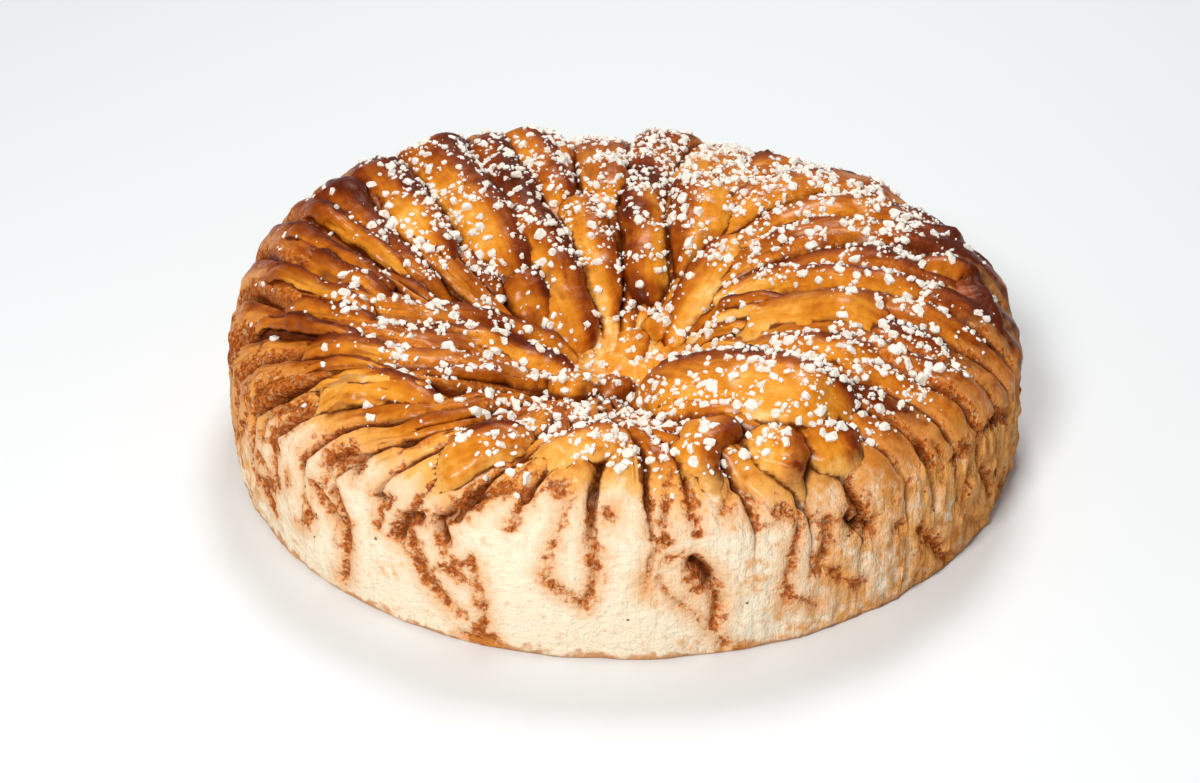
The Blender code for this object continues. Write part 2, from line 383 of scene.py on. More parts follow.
# Columns of the mesh, crowded towards the creases. Each belongs to the nearer fold.
step = (np.arange(perFold) + 0.5) / perFold
across = step + 0.45 * np.sin(2 * math.pi * step) / (2 * math.pi)
share = np.tile(across, foldCount)                        # way from one middle line to the next
lower = np.repeat(np.arange(foldCount), perFold)
owner = np.where(share < 0.5, lower, (lower + 1) % foldCount)
side = np.where(share < 0.5, share, share - 1)            # -0.5 to 0.5 across the fold, 0 on its middle
own = folds[owner]
creases = np.array(loaf["creases"])


def topRing(e):
    middles = middleLines(e) + np.radians(loaf["wander"]) * perFoldNoise(e / 26, 3.1, 8.2) * smooth(e, 30, 60)
    following = np.append(middles[1:], middles[0] + 2 * math.pi)
    gap = (following - middles)[lower]
    bearing = middles[lower] + share * gap
    width = gap * e                                        # mm between two middle lines
    nose = loaf["noseLength"] * (2 * side) ** 2
    grown = np.sqrt(np.clip((e - own[:, 4] - nose) / 6 + 0.5, 0, 1))
    power, root = loaf["roundness"]
    force = (creases * (1 + 0.9 * perFoldNoise(e / 17, 4.3, 5.5)))[lower]
    full = np.clip(1 - np.abs(2 * side) ** power, 0, 1) ** root
    shallow = np.clip(0.62 - 0.55 * force, 0, 0.6)          # a weak crease hardly parts two folds
    full = shallow + (1 - shallow) * full
    slim = 0.45 + 0.55 * min(1, e / 80)
    toCrease = (0.5 - np.abs(side)) * width
    swell = 1 + 0.45 * perFoldNoise(e / 21, 5.7, 0.4)[owner]     # thicker here and thinner there
    rise = loaf["relief"] * own[:, 5] * grown * slim * full * swell
    rise = np.minimum(rise, loaf["steepest"] * width)
    dip = loaf["creaseDepth"] * np.minimum(force, width / 7)
    dip = dip * np.exp(-((toCrease / loaf["creaseWidth"]) ** 2)) * smooth(e, 6, 30)
    lean = own[:, 9] * full * grown * smooth(e, 40, 80)
    bearing = bearing + lean / max(e, 20)
    x, y = drift(*planPoint(e, bearing), e)
    melted = meltedAt(np.degrees(bearing))
    rimward = smooth(e, 104, 124)
    dip = dip * (1 - 0.85 * melted * smooth(e, 108, 125))
    rise = rise * (1 - 0.85 * melted * rimward) + loaf["meltedRise"] * melted * rimward
    distance = np.full(len(x), float(e))
    marks = {"full": full * grown, "across": side * width, "bearing": bearing, "e": distance,
             "toCrease": toCrease + 3 * (1 - smooth(e, 12, 36)) + 1.6 * shallow,
             "path": loaf["shoulder"] - distance}
    z = profile(e, bearing) + rise - loaf["sunk"] * smooth(e, 8, 40) - dip
    lobe = loaf["lobeReach"] / loaf["rimRadius"] * (e / loaf["shoulder"]) ** 12
    lobe = 1 + lobe * (full - 0.5) * (1 - 0.7 * melted)
    return np.stack([x * lobe, y * lobe, z], -1), marks


def sideRing(down, shoulder, marks):
    # down runs from 0 at the shoulder to 1 at the floor
    turn = np.arctan2(shoulder[:, 1], shoulder[:, 0])
    start = np.hypot(shoulder[:, 0], shoulder[:, 1])
    top = shoulder[:, 2]
    z = top * (1 - down)
    turned = 1 - (1 - np.clip((top - z) / loaf["turnUnder"], 0, 1)) ** 2
    wall = loaf["baseRadius"] + loaf["wallSwell"] * np.sin(math.pi * np.clip(1 - down + 0.1, 0, 1))
    calm = 1 - 0.9 * meltedAt(np.degrees(turn))
    lobe = loaf["lobeReach"] * (1 - down) ** (1.5 / calm) * calm * (marks["full"] - 0.5)
    radius = start + (wall + lobe - start) * turned
    points = np.stack([radius * np.cos(turn), radius * np.sin(turn), z], -1)
    return points, dict(marks, path=z - top, toCrease=marks["toCrease"] + 14 * down + 4 * (1 - calm))


# Cinnamon on the side, each stroke as (half width, depth, points by bearing and height), in mm and degrees
spice = {
    "strokes": (
        (1.2, 1.0, ((202, 46), (204, 38), (202, 28), (198, 21), (192, 13))),
        (2.2, 0.8, ((215, 27), (212, 21), (209, 20), (213, 15))),
        (1.1, 0.8, ((213, 38), (215, 38))), (1.2, 0.8, ((209, 29), (211, 28))),
        (1.0, 0.8, ((214, 33), (214, 29))), (0.8, 0.6, ((218, 33), (218, 30))),
        (1.3, 1.5, ((222, 28), (223, 24))), (0.4, 0.8, ((220, 16.5), (222.5, 20))),
        (2.2, 1.5, ((210, 46), (214, 48), (217, 50))), (1.5, 1.5, ((210, 43), (210, 37))),
        (1.8, 2.5, ((224, 35), (227, 31), (229.5, 25))), (2.4, 2.5, ((228, 36), (230, 29), (230, 20))),
        (1.3, 1.5, ((230, 20), (229.7, 11), (228.6, 6))), (1.6, 3.0, ((226, 45), (229, 48), (231, 46))),
        (0.9, 1.5, ((226, 38), (226.4, 42))), (1.5, 3.5, ((235.6, 42), (237, 42))),
        (0.9, 1.5, ((236, 41), (235.8, 33))), (1.6, 3.0, ((236.5, 56), (239.5, 59))),
        (2.5, 3.5, ((242, 40), (240, 38), (239, 31))),
        (1.9, 1.6, ((241, 34), (242, 26), (244, 19), (246.5, 13))),
        (0.9, 1.0, ((246.5, 13), (248.5, 11))), (2.2, 4.0, ((247, 44), (245, 41), (246, 35))),
        (0.9, 1.0, ((246, 31), (248, 29), (250, 29))), (1.8, 0.6, ((246.5, 26), (248.5, 24))),
        (1.0, 1.5, ((250, 31), (251, 21), (251.6, 10))), (1.6, 1.2, ((251.4, 9), (250.5, 5))),
        (1.8, 2.0, ((252.4, 3), (248.6, 2))), (1.5, 2.0, ((247, 44.5), (250, 48), (253, 51), (256, 58))),
        (2.3, 1.5, ((253.5, 53), (256.5, 50.5))), (0.8, 2.0, ((245, 53), (249, 56), (252, 60))),
        (0.45, 1.5, ((260, 57), (262, 56), (263.2, 52), (261.5, 47.5))), (1.5, 1.0, ((259.5, 54), (262, 52))),
        (0.7, 2.0, ((265.5, 62), (265.6, 50), (265.6, 44))), (1.1, 1.5, ((265.4, 50), (265.8, 47))),
        (0.9, 1.6, ((265.7, 44), (266.2, 36), (266.0, 29), (264.8, 20.5))),
        (0.5, 1.2, ((261.3, 44), (260.4, 38), (260.0, 32))), (1.4, 1.2, ((260, 31), (260.6, 28))),
        (0.8, 1.2, ((260.6, 27), (263.3, 23.5), (264.8, 20.5))), (1.4, 1.2, ((266, 38), (266.2, 33))),
        (1.1, 2.0, ((267.6, 48), (268.4, 48.5))), (0.5, 1.6, ((275.2, 46), (275.8, 54), (277.5, 61))),
        (1.0, 1.0, ((274.8, 45), (275.4, 42))), (0.45, 1.4, ((274.6, 41), (273.2, 36), (273, 30))),
        (1.3, 0.8, ((272.7, 30), (272.8, 26))), (0.4, 1.2, ((274, 30), (276, 23), (279.5, 15.5), (281, 13))),
        (0.35, 0.8, ((275, 36), (276.8, 37))), (2.3, 5.0, ((278.8, 34), (280.4, 30), (281, 26))),
        (1.3, 2.5, ((281.4, 25), (282, 18), (281.3, 11))), (1.3, 0.6, ((278.4, 30), (279, 25))),
        (0.4, 1.0, ((281.3, 11), (282.8, 4), (284.5, 1))), (1.0, 0.6, ((278.4, 50), (278.6, 47))),
        (1.1, 1.5, ((283.4, 48), (284.6, 52))), (0.9, 1.5, ((286.3, 52), (287.5, 48))),
        (0.6, 1.5, ((293.5, 50), (293, 41), (292, 32), (291.4, 24), (291.3, 15))),
        (1.2, 1.0, ((291.2, 19), (291.4, 17))),
        (0.5, 0.8, ((293.5, 15), (296, 11))), (1.0, 1.2, ((290, 46), (293, 45.5))),
        (1.5, 2.0, ((297, 40), (297, 33), (296.4, 28))),
        (1.5, 1.2, ((295.6, 25), (298, 22), (299.4, 18), (302.4, 12))),
        (2.0, 4.0, ((300.4, 39), (301.4, 36), (303.6, 32))), (1.6, 0.6, ((301, 43), (304, 36))),
        (0.9, 0.8, ((307.4, 39), (308, 37))), (1.3, 1.2, ((315, 50), (314.8, 42))),
        (0.9, 1.5, ((317.6, 45), (317.6, 36))), (1.2, 1.2, ((320, 40), (323.5, 42), (324.5, 38))),
        (1.8, 2.5, ((312.8, 24), (315, 17), (318, 9), (320.5, 2))), (1.1, 0.6, ((313.4, 22), (313.6, 12))),
        (1.2, 1.2, ((308.8, 30), (309, 26))), (0.9, 1.0, ((323.4, 31), (322.6, 21))),
        (2.0, 2.5, ((328, 27), (330, 20), (332, 13))), (0.9, 1.5, ((324.5, 14), (329, 5))),
        (2.2, 2.0, ((330, 40), (335, 38), (338, 33))), (2.0, 1.5, ((338, 10), (341, 2))),
        (0.8, 1.0, ((182, 42), (183, 26), (181, 8))), (0.9, 1.0, ((187, 40), (187.5, 20), (185, 6))),
        (0.7, 1.0, ((193, 42), (194, 30))),
        (1.6, 1.2, ((172, 46), (171, 28), (173, 12))), (1.3, 1.2, ((177, 48), (178, 30))),
        (1.8, 1.4, ((190, 48), (191, 36), (188, 22))), (1.4, 1.2, ((197, 50), (199, 36), (196, 18))),
        (1.6, 1.2, ((206, 50), (205, 40), (207, 30))), (1.2, 1.0, ((162, 44), (164, 22))),
        (1.5, 1.2, ((184, 46), (185, 34))), (1.0, 0.8, ((168, 40), (166, 14))),
    ),
    # On the sides that the photograph doesn't show, the same kinds of stroke are drawn by a rule
    "unseen": (348, 530), "unseenCount": 46, "seed": 11,
    "thin": 0.68,      # scale of every stroke's width
}


def unseenStrokes():
    draw = random.Random(spice["seed"])
    made = []
    first, last = spice["unseen"]
    for number in range(spice["unseenCount"]):
        bearing = first + (last - first) * (number + draw.uniform(0.1, 0.9)) / spice["unseenCount"]
        top = draw.uniform(18, 40)
        lean = draw.uniform(-2.5, 2.5)
        fall = draw.uniform(8, 24)
        half = draw.choice((0.5, 0.8, 1.2, 1.8, 2.2))
        bend = draw.uniform(-1.5, 1.5)
        points = ((bearing, top), (bearing + lean + bend, top - fall / 2),
                  (bearing + lean, max(1, top - fall)))
        made.append((half, draw.uniform(0.8, 2.6), points))
        if number % 6 == 2:        # a tongue of dough with cinnamon round it
            middle, reach, foot = bearing + 3, draw.uniform(2.2, 3.4), draw.uniform(12, 22)
            made.append((0.9, 1.4, ((middle - reach, foot + 20), (middle - reach * 0.9, foot + 6),
                                    (middle, foot),
                                    (middle + reach * 0.9, foot + 6), (middle + reach, foot + 19))))
    return made


def strokeGaps(bearing, z):
    # Distance in mm from each point of the side to the edge of the nearest stroke, and the groove's depth
    x = np.degrees(bearing)
    perDegree = math.radians(1) * loaf["rimRadius"]
    gap = np.full(len(x), 99.0)
    groove = np.zeros(len(x))
    for half, depth, points in spice["strokes"] + tuple(unseenStrokes()):
        half = half * spice["thin"]
        nearest = np.full(len(x), 99.0)
        for (xa, za), (xb, zb) in zip(points, points[1:]):
            apart = (x - xa + 180) % 360 - 180
            px, pz = apart * perDegree, z - za
            dx, dz = (xb - xa) * perDegree, zb - za
            t = np.clip((px * dx + pz * dz) / (dx * dx + dz * dz), 0, 1)
            nearest = np.minimum(nearest, np.hypot(px - t * dx, pz - t * dz))
        gap = np.minimum(gap, nearest - half + max(0, 0.9 - half))      # a fine line has a fine edge
        groove = np.maximum(groove, depth * np.exp(-((nearest / (half + 0.6)) ** 2)))
    return gap, groove


def gridNormals(grid):
    down = np.gradient(grid, axis=0)
    sideways = (np.roll(grid, -1, 1) - np.roll(grid, 1, 1)) / 2
    out = np.cross(down, sideways)
    return out / np.maximum(np.linalg.norm(out, axis=-1, keepdims=True), 1e-9)


def loafGrid():
    distances = [0.0, *loaf["firstRings"], *np.arange(12, loaf["shoulder"] - 0.5, loaf["topStep"]),
                 loaf["shoulder"]]
    rings, marks = map(list, zip(*(topRing(e) for e in distances)))
    rings[0][:] = rings[1].mean(0) - (0, 0, 0.4)            # the dimple's bottom is one point
    shoulder, shoulderMarks = rings[-1], marks[-1]
    for down in (np.arange(loaf["sideRings"]) + 1) / loaf["sideRings"]:
        ring, mark = sideRing(down, shoulder, shoulderMarks)
        rings.append(ring)
        marks.append(mark)
    stored = {name: np.array([mark[name] for mark in marks]) for name in marks[0]}
    return np.array(rings), stored, len(distances)


def gridLumps(grid, size, octaves, squash=1, shift=0):
    points = grid.reshape(-1, 3) * (1, 1, squash) + shift
    return lumps(points, size, octaves).reshape(grid.shape[:2])


def layers(across, e, points, height):
    # Edges of the rolled layers: 0 on an edge, and only in some places
    along = np.stack([across / 3.0, e / 34 + height / 60, across * 0], -1)
    found = np.abs(lumps(along.reshape(-1, 3), 1, 2))
    leftArcs = smooth(-points[:, 0], 45, 75) * smooth(-points[:, 1], -30, 10)
    places = np.maximum(smooth(lumps(points + 90, 21, 1), -0.05, 0.3), leftArcs)
    return (found + 0.5 * (1 - places)).reshape(height.shape)


def markSide(grid, marks, path):
    # Where the crust ends, how toasted the crumb is, and how near the cinnamon. path is the height on the
    # side, carried on over the shoulder.
    turn = turnOf(grid)
    ragged = gridLumps(grid, 9, 3, squash=0.6)
    marks["crustEdge"] = (path - table(loaf["crustEdge"], turn) + 1.5 + 3.5 * ragged
                          + 1.5 * (marks["full"] - 0.5))
    marks["toast"] = table(loaf["toast"], turn)
    marks["side"] = 1 - smooth(path, 50, 64)
    gap, groove = (found.reshape(turn.shape) for found in strokeGaps(np.radians(turn.ravel()), path.ravel()))
    marks["groove"] = groove * marks["side"]
    viewerSide = np.where(np.cos(marks["bearing"]) > 0, -1, 1) * side > 0
    rimward = smooth(marks["e"], 60, 112)
    band = own[:, 8] * np.where(viewerSide, 0.25 + 0.75 * rimward, 0.25)
    marks["spice"] = np.minimum(np.where(path < 66, gap, 99), marks["toCrease"] - band + 0.3)


def addRelief(grid, marks):
    # Soft lumps everywhere, dough lines along the folds, torn crumb and cinnamon grooves on the side
    height = grid[..., 2]
    marks["soft"] = gridLumps(grid, 24, 2)
    marks["knobbly"] = gridLumps(grid, 9, 2, shift=50)
    marks["rib"] = layers(marks["across"] + owner * 23.0, marks["e"], grid.reshape(-1, 3), height)
    torn = gridLumps(grid, 3.4, 3, squash=0.45) + 0.8 * gridLumps(grid, 2.6, 2, squash=0.22)
    crumb = 1 - smooth(marks["crustEdge"], -3, 3)
    dough = (1 - crumb) * smooth(marks["e"], 12, 40)
    away = (0.6 + 0.8 * dough) * marks["soft"] + 0.8 * dough * marks["knobbly"]
    away = away + 0.8 * dough * np.minimum(marks["rib"], 0.3) / 0.3
    away = away + crumb * (0.12 + 1.5 * marks["toast"]) * torn - marks["groove"]
    away = away * np.clip(height / 3, 0, 1) * smooth(marks["e"], 2, 14)
    return grid + gridNormals(grid) * away[..., None]


def bakedAt(grid, marks, height, onTop):
    e, full, facing = marks["e"], marks["full"], np.cos(marks["bearing"])
    bake = own[:, 6] + (own[:, 7] - own[:, 6]) * smooth(e, 78, 116)
    bake = bake + 0.12 * (full - 0.6) + 0.28 * (1 - full) ** 3 * smooth(e, 25, 55)
    farSide = smooth(np.where(facing > 0, 1, -1) * side, -0.1, 0.4) - 0.35
    bake = bake + 0.36 * farSide * np.abs(facing) * smooth(e, 40, 70)
    bake = bake + 0.10 * marks["soft"] + 0.09 * marks["knobbly"] + toneAt(grid)
    centre = np.exp(-((e / 34) ** 2)) * np.clip(np.sin(marks["bearing"]), 0, 1)
    bake = 0.3 + (bake - 0.3) * smooth(e, 8, 30) - 0.2 * centre
    return bake + 0.10 * np.clip((height - 58) / 12, -1, 1) * onTop


def vertexPlaces(mesh):
    places = np.empty(len(mesh.vertices) * 3)
    mesh.vertices.foreach_get("co", places)
    return places.reshape(-1, 3)


def markPiece(mesh, layers):
    for name, layer in layers.items():
        values = np.full(len(mesh.vertices), layer, np.float32)
        mesh.attributes.new(name, "FLOAT", "POINT").data.foreach_set("value", values)


def carriedOn(layer, rows):
    # The last ring's values again for the rings of the base
    return np.concatenate([layer, np.repeat(layer[-1:], rows - len(layer), 0)])


def buildLoaf():
    grid, marks, topCount = loafGrid()
    ringCount, columns = grid.shape[:2]
    height = grid[..., 2]
    onTop = np.arange(ringCount)[:, None] < topCount
    markSide(grid, marks, np.where(onTop, height[topCount - 1] + marks["path"], height))
    turn = np.radians(turnOf(grid)[-1])
    grid = addRelief(grid, marks)
    # The foot of the side strays a little from its circle
    stray = 0.9 * lumps(np.stack([np.cos(turn), np.sin(turn), 0 * turn], -1), 0.11, 2)
    low = np.clip(1 - height / 14, 0, 1)[..., None] * stray[:, None] / loaf["rimRadius"]
    grid = grid * (1 + low * (1, 1, 0))
    marks["bake"] = bakedAt(grid, marks, height, onTop)
    # Distance from the nearest crease, which places the painted shade along it
    marks["crease"] = marks["toCrease"]

    grid[-1][:, 2] = loaf["footHeight"]
    base = [grid[-1] * (1 - inward / loaf["rimRadius"]) * (1, 1, 0) + (0, 0, lift)
            for inward, lift in loaf["base"]]
    skin = np.concatenate([grid, np.array(base)])
    rows = len(skin)

    # The grid primitive is wrapped round the dimple, then its seam and its base are closed
    clearSelection()
    bpy.ops.mesh.primitive_grid_add(x_subdivisions=columns, y_subdivisions=rows - 1, size=2)
    piece = bpy.context.object
    piece.name = "crust"
    mesh = piece.data
    start = vertexPlaces(mesh)
    column = np.rint((start[:, 0] + 1) / 2 * columns).astype(int) % columns
    row = np.rint((1 - start[:, 1]) / 2 * (rows - 1)).astype(int)
    mesh.vertices.foreach_set("co", (skin[row, column] * mm).ravel())
    names = ("bake", "spice", "crustEdge", "toast", "crease", "groove", "side", "rib")
    markPiece(mesh, {name: carriedOn(marks[name], rows)[row, column] for name in names})
    layAlong(mesh, marks["across"], columns, rows)

    bpy.ops.object.mode_set(mode="EDIT")
    bpy.ops.mesh.select_all(action="SELECT")
    bpy.ops.mesh.remove_doubles(threshold=1e-6)
    bpy.ops.mesh.select_all(action="DESELECT")
    bpy.ops.mesh.select_non_manifold()
    bpy.ops.mesh.edge_face_add()
    bpy.ops.mesh.select_all(action="SELECT")
    bpy.ops.mesh.normals_make_consistent(inside=False)
    bpy.ops.object.mode_set(mode="OBJECT")
    mesh.shade_smooth()
    mesh.validate()
    return piece


def layAlong(mesh, across, columns, rows):
    # The UV map runs across and along each fold, so that the dough's lines follow it. 1 is 100 mm.
    along = np.cumsum(np.full(across.shape, 1.3), 0)
    along = np.concatenate([along, np.zeros((rows - len(across), columns))])
    layer = mesh.uv_layers.active
    layer.name = "dough"
    flat = np.empty(len(mesh.loops) * 2, np.float32)
    layer.data.foreach_get("uv", flat)
    flat = flat.reshape(-1, 2)
    # The grid's own map says which column and row a corner is
    column = np.rint(flat[:, 0] * columns).astype(int) % columns
    row = rows - 1 - np.rint(flat[:, 1] * (rows - 1)).astype(int)
    u = carriedOn(across, rows)[row, column] / 100 + owner[column] * 1.7
    layer.data.foreach_set("uv", np.stack([u, along[row, column] / 100], -1).astype(np.float32).ravel())


def makeCrustFinish():
    f = Finish("baked dough")
    bake, gap, edge, rib = f.stored("bake"), f.stored("spice"), f.stored("crustEdge"), f.stored("rib")
    toast, crease, groove, side = f.stored("toast"), f.stored("crease"), f.stored("groove"), f.stored("side")
    dough = f.node("ShaderNodeUVMap", {"uv_map": "dough"}, {})
    drawn = f.node("ShaderNodeMapping", {}, {"Vector": dough, "Scale": (30, 3.2, 1)})
    lines = f.grain(1.0, 3, drawn, roughness=0.6)
    patch, fine, tiny = f.grain(0.014, 3), f.grain(0.0035, 4), f.grain(0.0012, 3)

    level = bake + 0.09 + 0.42 * patch + 0.26 * fine + 0.50 * lines + 0.35 * f.grain(0.03, 2)
    golden = f.ramp(level, crustFinish["bake"])
    # The crust thins out to cream above its lower edge
    thin = f.fade(edge + 14.0 * fine + 5.0 * lines + 8.0 * patch, -2.0, 13.0)
    thinShade = f.mix(f.fade(toast, 0.3, 0.7), crustFinish["thinPale"], crustFinish["thinTan"])
    golden = f.mix((1 - thin) * 0.85, golden, thinShade)

    mottle = toast + 1.5 * patch + 1.3 * fine + 0.4 * tiny
    crumbShade = f.mix(f.fade(mottle, 0.1, 0.85), crustFinish["crumbPale"], crustFinish["crumbTan"])
    upright = f.node("ShaderNodeMapping", {}, {"Vector": f.place, "Scale": (1, 1, 0.16)})
    fibre = f.grain(0.0028, 3, upright)
    streak = f.fade(toast + 2.6 * fibre + 1.2 * patch, 0.72, 1.2)
    crumbShade = f.mix(streak * 0.75, crumbShade, crustFinish["crumbDark"])
    onCrumb = 1 - f.fade(edge + 8.0 * fine + 4.0 * lines + 5.0 * patch, -5.0, 2.0)
    colour = f.mix(onCrumb, golden, crumbShade)

    # Cinnamon: a granular zone, a dark heart, and pale grains of dough in it
    ragged = gap + 9.0 * fine + 4.0 * tiny + 6.0 * patch
    zone = 1 - f.fade(ragged, -0.2, 2.2)
    heart = 1 - f.fade(ragged, -1.2, 0.5)
    halo = (1 - f.fade(gap + 8.0 * fine + 5.0 * patch, 0.5, 7.0)) * 0.6
    speckle = f.grain(0.0013, 2)
    spiceShade = f.mix(f.fade(speckle, -0.10, 0.12), crustFinish["spiceDark"], crustFinish["spiceLight"])
    fleck = f.fade(f.grain(0.0018, 2), 0.05, 0.14) * 0.75
    spiceShade = f.mix(fleck, spiceShade, crustFinish["spiceFleck"])
    heartShade = f.mix(f.fade(speckle, -0.05, 0.2), crustFinish["spiceHeart"], crustFinish["spiceDark"])
    colour = f.mix(halo * side, colour, crustFinish["spiceHalo"])
    colour = f.mix(zone * (0.54 + 0.36 * side), colour, spiceShade)
    colour = f.mix(heart * 0.50, colour, heartShade)

    # Painted shade in the deep holes, along the creases and in places that are almost shut, and the edges of
    # the layers
    # Painted shade: the deepest parts of the cinnamon grooves are darkened as holes
    deep = f.fade(groove, 2.0, 4.2) * (1 - f.fade(gap, -1.2, 0.2))
    colour = f.mix(deep * 0.85, colour, crustFinish["hole"])
    # Painted shade: a dark line along the bottom of each crease
    line = (1 - f.fade(crease + 2.4 * fine, 0.1, 1.1)) * 0.7
    colour = f.mix(line, colour, crustFinish["crease"])
    layered = (1 - f.fade(rib + 0.3 * fine, 0.02, 0.20)) * (1 - onCrumb)
    colour = f.mix(layered * 0.55, colour, crustFinish["layerEdge"])
    # Painted shade: places in hollows and under overhangs, found by casting rays, are darkened towards the
    # crease colour
    occludedShade = f.fade(f.stored("hollow") + 0.5 * fine, 0.06, 0.44)
    colour = f.mix(occludedShade * (0.93 - 0.55 * onCrumb), colour, crustFinish["crease"])

    # Toasted line at the foot of the side, and a few dark specks on the crumb
    height = f.node("ShaderNodeSeparateXYZ", {}, {0: f.place}, "Z")
    burnt = 1 - f.fade(height + 0.012 * patch + 0.008 * fine, 0.0006, 0.0036)
    colour = f.mix(burnt * 0.8, colour, crustFinish["foot"])
    dots = 1 - f.fade(f.cells(0.010), 0.04, 0.06)
    colour = f.mix(dots * onCrumb * 0.8, colour, crustFinish["speck"])

    grains = zone * (0.4 + 0.6 * side)
    rough = f.grain(0.0022, 4, roughness=0.7) * onCrumb * 0.9 + fibre * onCrumb * (0.5 + 2.0 * toast)
    rough = rough + speckle * grains * 1.6 + fine * 0.6 + tiny * 0.25 + lines * (1 - onCrumb) * 0.35
    dull = onCrumb.most(grains)
    f.feed(Base_Color=colour, Roughness=0.38 + 0.42 * dull + 0.5 * fine,
           Coat_Weight=(0.24 - 0.19 * f.fade(level, 0.45, 0.8)) * (1 - dull), Coat_Roughness=0.2,
           Specular_IOR_Level=0.12, Specular_Tint=crustFinish["sheen"], Normal=f.bump(rough, 0.0012))
    return f.material


